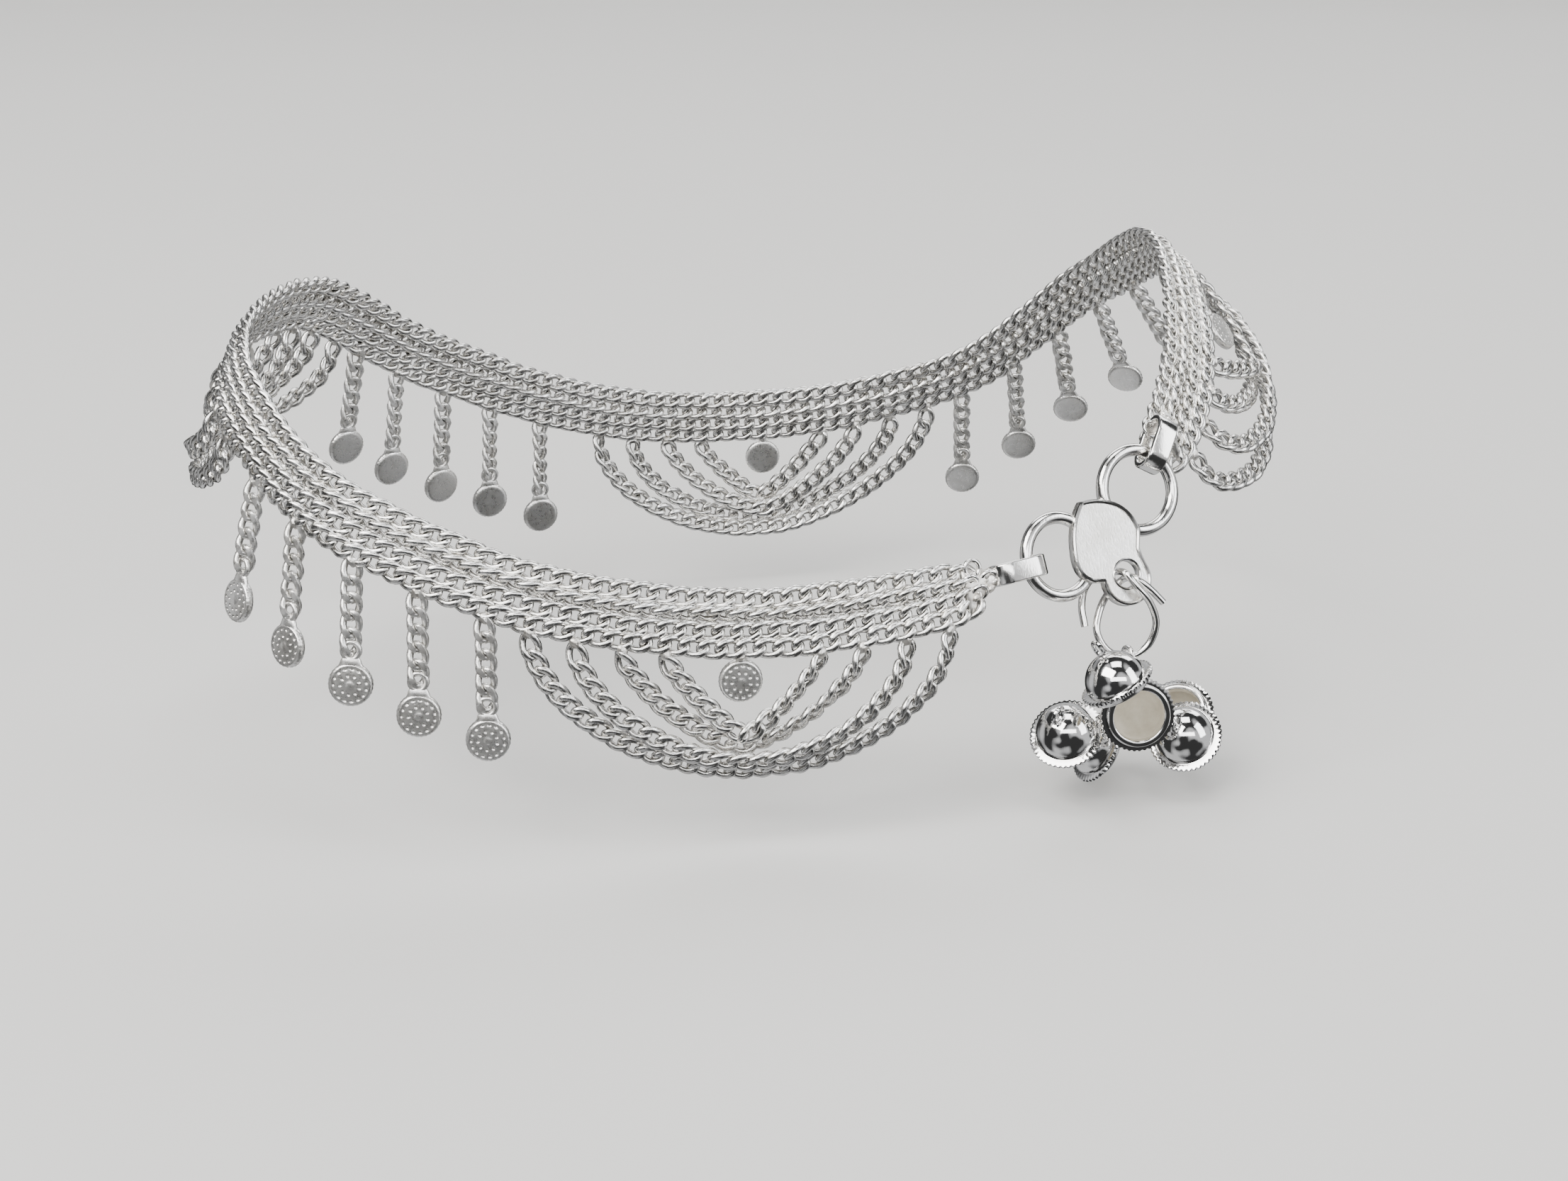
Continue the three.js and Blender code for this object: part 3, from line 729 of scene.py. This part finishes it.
# Clasp plane: a to its right, b up and n out of it, with how far it is turned and tilted
TURN = math.radians(22.4)
TILT = math.radians(23)
OUT = np.array([math.cos(TILT) * math.sin(TURN), -math.cos(TILT) * math.cos(TURN), math.sin(TILT)])
RIGHT = unit(np.cross([0, 0, 1.0], OUT))
UP = np.cross(OUT, RIGHT)
CLASP = np.stack([RIGHT, UP, OUT], 1)
CLASP_AT = frames(BAND_LENGTH + CLASP_PLACE * CLASP_SPAN)[0][0]
HOOK_WIRE = 1.1
NEAR_LOOP = {"a": -3.15, "b": -2.35, "ra": 3.1, "rb": 3.35, "from": 46, "to": 310}
FAR_LOOP = {"a": 5.3, "b": 2.4, "ra": 3.4, "rb": 3.5, "from": 205, "to": -100}


def on_clasp(points):
    return np.asarray(points, float) @ CLASP.T + CLASP_AT


def loop_point(c, degrees):
    """Points of one of the hook's loops, in the clasp's plane."""
    angle = np.radians(degrees)
    return np.stack([c["a"] + c["ra"] * np.cos(angle), c["b"] + c["rb"] * np.sin(angle), 0 * angle], -1)


hook = Shape()
for c in (NEAR_LOOP, FAR_LOOP):
    path = loop_point(c, np.linspace(c["from"], c["to"], 72))
    points, faces = sweep(path, circle(HOOK_WIRE / 2, 16), first=(0, 0, 1))
    hook.add(on_clasp(points), faces)
make("clasp_hook", hook, [WIRE], "anklet", ["clasp"], 50)


def quadratic(a, b, c, count=14):
    """Curve from a to c that bends towards b, without its first point."""
    t = np.linspace(0, 1, count)[1:, None]
    a, b, c = np.array(a), np.array(b), np.array(c)
    return (1 - t) ** 2 * a + 2 * t * (1 - t) * b + t ** 2 * c


LOBE = np.array([2.7, -5.1])
LOBE_RADIUS = 2.3
HOLE = LOBE + [0, 0.44]
HOLE_RADIUS = 1.15
HOLE_SIDES = 40
PLATE_HALF = 0.41
PLATE_EDGE = 0.14
PLATE_PROUD = 0.25
RIM_RADIUS = 0.2
RIM_LEVEL = 0.62
HOLE_RIM_RADIUS = 0.14
HOLE_RIM_LEVEL = 0.6
RIM_SIDES = 8


def plate_outline():
    points = [np.array([[-0.7, 2.0]])]
    points.append(quadratic((-0.7, 2.0), (-2.2, 0.2), (-2.1, -2.9)))
    points.append(quadratic((-2.1, -2.9), (-2.0, -4.5), (-0.6, -5.0), 8))
    angle = np.linspace(math.pi, 2 * math.pi + 0.5, 30)
    points.append(LOBE + LOBE_RADIUS * np.stack([np.cos(angle), np.sin(angle)], 1))
    points.append(np.array([[4.45, -3.2], [4.3, -2.6], [4.5, -1.7], [4.6, -1.0]]))
    points.append(quadratic((4.6, -1.0), (4.2, 0.8), (2.6, 1.6)))
    points.append(quadratic((2.6, 1.6), (1.0, 2.3), (-0.7, 2.0))[:-1])
    return np.vstack(points)


def flat_curve(name, loops, half, edge):
    """Flat filled curve with rounded edges, as a mesh in the curve's own plane, in millimetres."""
    curve = bpy.data.curves.new(name, "CURVE")
    curve.dimensions = "2D"
    curve.fill_mode = "BOTH"
    curve.extrude = half - edge
    curve.bevel_depth = edge
    curve.bevel_resolution = 3
    curve.offset = -edge
    for loop in loops:
        line = curve.splines.new("POLY")
        line.points.add(len(loop) - 1)
        for point, (x, y) in zip(line.points, loop):
            point.co = (x, y, 0, 1)
        line.use_cyclic_u = True
    thing = bpy.data.objects.new(name, curve)
    mesh = bpy.data.meshes.new_from_object(thing)
    points = np.array([v.co[:] for v in mesh.vertices])
    faces = [list(f.vertices) for f in mesh.polygons]
    bpy.data.objects.remove(thing)
    bpy.data.curves.remove(curve)
    bpy.data.meshes.remove(mesh)
    return points, faces


OUTLINE = plate_outline()
HOLE_RING = HOLE + circle(HOLE_RADIUS, HOLE_SIDES)
plate_points, plate_faces = flat_curve("plate", [OUTLINE, HOLE_RING[::-1]], PLATE_HALF, PLATE_EDGE)
plate = Shape()
plate.add(on_clasp(plate_points + [0, 0, PLATE_PROUD]), plate_faces)
edge_way = unit(np.roll(OUTLINE, -1, 0) - np.roll(OUTLINE, 1, 0))
inward = np.stack([-edge_way[:, 1], edge_way[:, 0]], 1)
rim_path = np.column_stack([OUTLINE + RIM_RADIUS * inward, np.full(len(OUTLINE), RIM_LEVEL)])
rim_points, rim_faces = sweep(rim_path, circle(RIM_RADIUS, RIM_SIDES), closed=True, first=(0, 0, 1))
plate.add(on_clasp(rim_points), rim_faces, 1.0, 1)
hole_rim = HOLE + circle(HOLE_RADIUS + HOLE_RIM_RADIUS, HOLE_SIDES)
hole_path = np.column_stack([hole_rim, np.full(HOLE_SIDES, HOLE_RIM_LEVEL)])
hole_points, hole_faces = sweep(hole_path, circle(HOLE_RIM_RADIUS, RIM_SIDES), closed=True, first=(0, 0, 1))
plate.add(on_clasp(hole_points), hole_faces, 1.0, 1)
make("clasp_plate", plate, [PLATE, WIRE], "anklet", ["clasp"], 35)

# Soldered ends
LINK_INNER = 4.0
LINK_THICK = 0.55
LINK_BROAD = 1.8
LINK_PLAY = 0.45
LINK_CORNER = 0.16
END_INSET = 1.6


def oval_link():
    """Flat strap bent to an oval, with its length along x and its breadth along y."""
    middle = HOOK_WIRE / 2 + LINK_PLAY + LINK_THICK / 2
    straight = LINK_INNER / 2 - HOOK_WIRE / 2 - LINK_PLAY
    path = []
    for sign, start in ((1, -90), (-1, 90)):
        for angle in np.radians(np.linspace(start, start + 180, 18)):
            path.append([sign * straight + middle * math.cos(angle), 0, middle * math.sin(angle)])
    path = np.array(path)
    section = rounded_box(LINK_BROAD, LINK_THICK, LINK_CORNER)
    return sweep(path, section, closed=True, first=(0, 1, 0))


def end_piece(name, arc_from, loop, wire_at, link_angle):
    """Oval link on one of the hook's loops, and the lumpy soldered end that ties it to the strands."""
    wire = loop_point(loop, np.array(float(wire_at)))
    angle = math.radians(link_angle)
    reach = np.array([math.cos(angle), math.sin(angle), 0])
    side = np.array([-reach[1], reach[0], 0])
    shift = LINK_INNER / 2 - HOOK_WIRE / 2 - LINK_PLAY
    centre = wire + reach * shift
    points, faces = oval_link()
    turn = np.stack([reach, side, [0, 0, 1.0]], 1)
    shape = Shape()
    shape.add(on_clasp(points @ turn.T + centre), faces, 1.0, 1)
    tip = centre + reach * (LINK_INNER / 2 + LINK_THICK)
    tip_at = on_clasp(tip[None])[0]
    tip_side = CLASP @ side
    down, out = (a[0] for a in frames(arc_from)[3:])
    root = on_band(arc_from, BOTTOM_ROW / 2)[0]
    across = -down
    if across @ tip_side < 0:
        tip_side = -tip_side
    levels, sides = 10, 20
    theta = 2 * math.pi * np.arange(sides) / sides
    local = np.random.default_rng(len(name))

    def section(u):
        """Middle, broad and deep ways, and half height of the lump, from its tip to the strands."""
        wide = unit(tip_side * (1 - u) + across * u)
        deep = unit(OUT * (1 - u) + out * u)
        return tip_at * (1 - u) + root * u, wide, deep, 0.7 + 1.25 * u

    rings = []
    for u in np.linspace(-0.12, 1, levels + 1):
        at, wide, deep, high = section(u)
        thick = 0.52 - 0.22 * max(0.0, u - 0.6)
        bumps = local.normal(0, 0.08, sides)
        ring = []
        for t, b in zip(theta, bumps):
            ring.append(at + wide * high * math.cos(t) * (1 + b) + deep * thick * math.sin(t) * (1 + 1.6 * b))
        rings.append(ring)
    faces = []
    for i in range(levels):
        for j in range(sides):
            a, b = i * sides, (i + 1) * sides
            faces.append([a + j, a + (j + 1) % sides, b + (j + 1) % sides, b + j])
    faces.append(list(range(sides)))
    faces.append(list(range(levels * sides, (levels + 1) * sides)))
    shape.add(np.array(rings).reshape(-1, 3), faces, 0.95, 0)
    for k in range(14):
        at, wide, deep, high = section(local.uniform(0.0, 0.8))
        spot = at + wide * high * local.uniform(-0.85, 0.85) + deep * 0.42 * local.choice((-1, 1, 1))
        axes = (unit(root - tip_at), wide, deep)
        lump(shape, spot, local.uniform(0.26, 0.4), (1.1, 0.8, 0.7), axes, 40 + k)
    ring_points, ring_faces = torus(0.66, 0.4, 28, 10)
    # Small rings: share of the way along, share of the way across and tilt in degrees
    for u, side_share, tilt in ((0.16, 0.1, 30), (0.62, 1.05, 8), (0.55, -0.45, 38), (0.8, 0.3, 34)):
        at, wide, deep, high = section(u)
        way = unit(np.cross(wide, deep))
        wide2, deep2 = roll_about(way, wide, deep, tilt)
        spot = at + wide * high * side_share + deep * 0.3
        shape.add(ring_points @ np.stack([way, wide2, deep2], 0) + spot, ring_faces, 0.95, 1)
    make(f"{name}_soldered", shape, [SOLDER, WIRE], "anklet", [name])


end_piece("end_near", END_INSET, NEAR_LOOP, 190, 186)
end_piece("end_far", BAND_LENGTH - END_INSET, FAR_LOOP, 54, 60)

# Bell ring and its link. The ring's route is measured from the plate's hole: a and b in shares
# of the ring's reach, and n in shares of its depth.
RING_SIZE = np.array([7, 7, 1.6])
RING_WIRE = 0.63
RING_ROUTE = np.array([
    (0.38, -0.41, 0.84), (0.21, -0.22, 0.94), (0.08, -0.08, 0.75), (0.05, -0.04, 0.19),
    (0.02, -0.06, -0.37), (-0.16, -0.19, -0.62), (-0.33, -0.39, -0.56), (-0.42, -0.65, -0.5),
    (-0.32, -0.89, -0.44), (-0.07, -1.01, -0.31), (0.17, -0.91, 0.06), (0.28, -0.66, 0.5),
    (0.2, -0.39, 0.84), (0.04, -0.18, 1), (-0.04, -0.01, 0.75), (-0.05, 0.04, 0.19),
    (-0.09, 0.05, -0.37), (-0.26, 0.04, -0.84), (-0.43, -0.09, -0.97), (-0.52, -0.31, -0.94),
    (-0.53, -0.56, -0.87),
]) * RING_SIZE + [*HOLE, 0]
ring = Shape()
path = spline(RING_ROUTE, False, 260)[0]
points, faces = sweep(on_clasp(path), circle(RING_WIRE / 2, 12))
ring.add(points, faces)
make("bell_ring_wire", ring, [WIRE], "bell_bunch", ["bell_ring"], 50)

# Long wire link between the ring and the bells
DROP_WIRE = 0.45
DROP_RADIUS = 0.85
DROP_LENGTH = 5.0
DROP_LEAN = math.radians(30)
RING_LOW = RING_ROUTE[np.argmin(RING_ROUTE[:, 1])]
DROP_WAY = np.array([0, -math.cos(DROP_LEAN), -math.sin(DROP_LEAN)])
DROP_FRONT = np.array([0, -math.sin(DROP_LEAN), math.cos(DROP_LEAN)])


def on_drop_link(reach, out):
    """Point of the link's plane: reach along it from the ring's lowest point, and out to its front."""
    return RING_LOW + DROP_WAY * reach + DROP_FRONT * out


path = []
for angle in np.radians(np.linspace(0, 180, 16)):
    path.append(on_drop_link(DROP_LENGTH + DROP_RADIUS * math.sin(angle), -DROP_RADIUS * math.cos(angle)))
for angle in np.radians(np.linspace(0, 180, 16)):
    path.append(on_drop_link(-DROP_RADIUS * math.sin(angle), DROP_RADIUS * math.cos(angle)))
link = Shape()
points, faces = sweep(on_clasp(path), circle(DROP_WIRE / 2, 10), closed=True)
link.add(points, faces)
make("bell_link_wire", link, [WIRE], "bell_bunch", ["bell_link"], 50)

# Bells: rim's centre from the middle bell's loop in shares of the bell's radius, the way the
# mouth faces, and the line of the wire through the loop on top
BELL_RADIUS = 2.6
BELL_DEPTH = 3.5
BELL_WALL = 0.45
FLANGE_RADIUS = 3.25
LIP_RADIUS = 2.75
LIP_HEIGHT = 0.5
BELL_EYE = 0.7
BELL_EYE_WIRE = 0.37
EYE_SINK = 0.05
EYE_TO_RIM = BELL_DEPTH + BELL_EYE - EYE_SINK
MIDDLE_REACH = 4.25
MIDDLE_BACK = 0.1
MIDDLE_EYE = on_drop_link(MIDDLE_REACH, DROP_RADIUS - MIDDLE_BACK)
MIDDLE_MOUTH = (-0.26, -0.24, 0.93)
BELLS = {
    "bell_middle": (unit(np.array(MIDDLE_MOUTH)) * EYE_TO_RIM / BELL_RADIUS, MIDDLE_MOUTH, DROP_WAY),
    "bell_top": ((-1.19, 0.59, 1.91), (0.45, -0.88, -0.17), (1, 0, 0)),
    "bell_left": ((-2.17, -0.78, -0.34), (0.5, -0.52, -0.69), (0, 0, 1)),
    "bell_right": ((2.02, -1.48, 0.04), (0.6, -0.41, -0.69), (0, 0, 1)),
    "bell_back": ((2.1, -0.55, -0.57), (-0.6, 0.41, 0.69), (0, 1, 0)),
    "bell_low": ((-0.31, -1.43, -1.59), (0.88, -0.46, -0.1), (1, 0, 0)),
}
TEETH = 44


def bell_shape():
    """Domed cup with a milled flange, a smooth lip, a hollow inside and a loop on top. Its mouth
    faces z, with the rim at 0."""
    sides = TEETH * 4
    theta = 2 * math.pi * np.arange(sides) / sides
    tooth = np.array([1.0, 1.0, 0.0, 0.0] * TEETH)
    shoulder = BELL_DEPTH - BELL_RADIUS
    # Rows of the profile: radius, height, depth of the teeth, material and painted shade, darker in the
    # creases where the dome meets the flange and the flange meets the lip
    rows = []
    for a in np.radians(np.linspace(4, 90, 18)):
        rows.append((BELL_RADIUS * math.sin(a), -shoulder - BELL_RADIUS * math.cos(a), 0, 0, 1.1))
    rows.append((BELL_RADIUS + 0.06, -shoulder + 0.01, 0, 0, 0.7))
    rows.append((FLANGE_RADIUS - 0.26, -shoulder + 0.01, 0, 0, 0.95))
    rows.append((FLANGE_RADIUS - 0.03, -shoulder + 0.06, 0.09, 0, 0.95))
    rows.append((FLANGE_RADIUS, -(shoulder + LIP_HEIGHT) / 2, 0.11, 0, 1.0))
    rows.append((FLANGE_RADIUS - 0.03, -LIP_HEIGHT - 0.04, 0.09, 0, 1.0))
    rows.append((FLANGE_RADIUS - 0.24, -LIP_HEIGHT, 0, 0, 1.05))
    rows.append((LIP_RADIUS + 0.02, -LIP_HEIGHT + 0.02, 0, 0, 0.6))
    for a in np.radians(np.linspace(-10, 80, 5)):
        rows.append((LIP_RADIUS - 0.18 + 0.18 * math.cos(a), -0.2 + 0.2 * math.sin(a), 0, 0, 1.05))
    for a in np.radians(np.linspace(100, 180, 4)):
        rows.append((BELL_RADIUS - 0.22 + 0.2 * math.cos(a), -0.2 + 0.2 * math.sin(a), 0, 0, 1.05))
    inner = BELL_RADIUS - BELL_WALL
    rows.append((inner + 0.01, -0.5, 0, 0, 0.9))
    rows.append((inner, -0.56, 0, 1, 0.9))
    for a in np.radians(np.linspace(90, 4, 12)):
        rows.append((inner * math.sin(a), -shoulder - inner * math.cos(a), 0, 1, 1.0))
    shape = Shape()
    points, shades = [], []
    for radius, z, bite, material, shade in rows:
        r = radius - bite * tooth
        points.append(np.stack([r * np.cos(theta), r * np.sin(theta), 0 * theta + z], 1))
        # Painted shade in the gaps between the flange's teeth
        shades.append(shade - 0.35 * tooth * (bite > 0))
    faces, materials = [], []
    for i in range(len(rows) - 1):
        a, b = i * sides, (i + 1) * sides
        for j in range(sides):
            faces.append([a + j, a + (j + 1) % sides, b + (j + 1) % sides, b + j])
            materials.append(rows[i][3] and rows[i + 1][3])
    faces.append(list(range(sides)))
    materials.append(0)
    last = (len(rows) - 1) * sides
    faces.append(list(range(last, last + sides)))
    materials.append(1)
    shape.add(np.vstack(points), faces, np.concatenate(shades))
    shape.materials = materials
    eye_points, eye_faces = torus(BELL_EYE, BELL_EYE_WIRE, 32, 10, 0)
    shape.add(eye_points + [0, 0, -EYE_TO_RIM], eye_faces, 1.0)
    return shape


BELL_SHAPE = bell_shape()
for name, (at, mouth, wire) in BELLS.items():
    mouth = unit(np.array(mouth, float))
    side = np.array(wire, float)
    side = unit(side - (side @ mouth) * mouth)
    turn = np.stack([side, np.cross(mouth, side), mouth], 1)
    shape = Shape()
    shape.place(BELL_SHAPE, CLASP @ turn, on_clasp([MIDDLE_EYE + np.array(at) * BELL_RADIUS])[0])
    make(f"{name}_cup", shape, [BELL, CREAM], "bell_bunch", [name], 35)

# Floor: a pale round floor that turns up into a wall far away, in metres
FLOOR_LEVEL = -0.0295
FLOOR_REACH = 1.2
WALL_BEND = 0.5
WALL_TOP = 1.2
FLOOR_SIDES = 64


def floor_material():
    material, tree, shader = nodes_of("pale_floor")
    place = tree.nodes.new("ShaderNodeTexCoord").outputs["Object"]
    patches = noise(tree, place, 6.0, 3.0)
    colour = mix(tree, patches, (0.66, 0.655, 0.64), (0.70, 0.695, 0.68))
    tree.links.new(colour, shader.inputs["Base Color"])
    shader.inputs["Roughness"].default_value = 0.7
    return material


def floor():
    profile = [(0.3, 0.0), (0.9, 0.0), (FLOOR_REACH, 0.0)]
    for a in np.radians(np.linspace(10, 90, 9)):
        profile.append((FLOOR_REACH + WALL_BEND * math.sin(a), WALL_BEND * (1 - math.cos(a))))
    profile.append((FLOOR_REACH + WALL_BEND, WALL_TOP))
    sides = FLOOR_SIDES
    points, faces = [], []
    for r, z in profile:
        for j in range(sides):
            t = 2 * math.pi * j / sides
            points.append((r * math.cos(t), r * math.sin(t), z + FLOOR_LEVEL))
    for i in range(len(profile) - 1):
        a, b = i * sides, (i + 1) * sides
        for j in range(sides):
            faces.append([a + j, b + j, b + (j + 1) % sides, a + (j + 1) % sides])
    faces.append(list(range(sides)))
    mesh = bpy.data.meshes.new("floor")
    mesh.from_pydata(points, [], faces)
    mesh.polygons.foreach_set("use_smooth", np.ones(len(faces), bool))
    mesh.materials.append(floor_material())
    piece = bpy.data.objects.new("floor", mesh)
    piece.visible_glossy = False
    bpy.context.scene.collection.objects.link(piece)


floor()


# Light and camera
def area(name, at, size, power, target=(0.0, 0.0, -0.005), tint=(1, 1, 1)):
    """Soft rectangular light that looks at the target, in metres and watts."""
    lamp = bpy.data.lights.new(name, "AREA")
    lamp.shape = "RECTANGLE"
    lamp.size, lamp.size_y = size
    lamp.energy = power
    lamp.color = tint
    thing = bpy.data.objects.new(name, lamp)
    thing.location = at
    thing.rotation_euler = (Vector(target) - Vector(at)).to_track_quat("-Z", "Y").to_euler()
    bpy.context.scene.collection.objects.link(thing)


area("key", (-0.5, -0.45, 0.7), (0.8, 0.55), 13.0, tint=(1.0, 0.985, 0.96))
area("fill", (0.7, -0.3, 0.4), (0.4, 0.7), 4.0, tint=(0.96, 0.98, 1.0))
area("back", (0.1, 0.65, 0.6), (1.1, 0.4), 5.0)
area("top", (0.0, -0.05, 0.95), (0.5, 0.4), 3.5)
area("front", (0.05, -0.8, 0.42), (1.0, 0.22), 3.2)

# World: soft bright and dark panels all round, for the silver to reflect
world = bpy.data.worlds.new("studio")
bpy.context.scene.world = world
world.use_nodes = True
background = world.node_tree.nodes["Background"]
way = world.node_tree.nodes.new("ShaderNodeTexCoord").outputs["Generated"]
panels = noise(world.node_tree, way, 1.5, 0.0, 0.4)
tone = remap(world.node_tree, panels, 0.44, 0.58, 0.04, 0.66)
world.node_tree.links.new(tone, background.inputs["Strength"])
background.inputs["Color"].default_value = (0.97, 0.98, 1.0, 1)

camera = bpy.data.cameras.new("camera")
camera.lens = 55.33
camera.sensor_width = 36.0
camera.clip_start = 0.005
camera.clip_end = 20.0
eye = bpy.data.objects.new("camera", camera)
eye.location = (0.0056, -0.2157, 0.05935)
eye.rotation_euler = (math.radians(70), 0, 0)
bpy.context.scene.collection.objects.link(eye)
bpy.context.scene.camera = eye
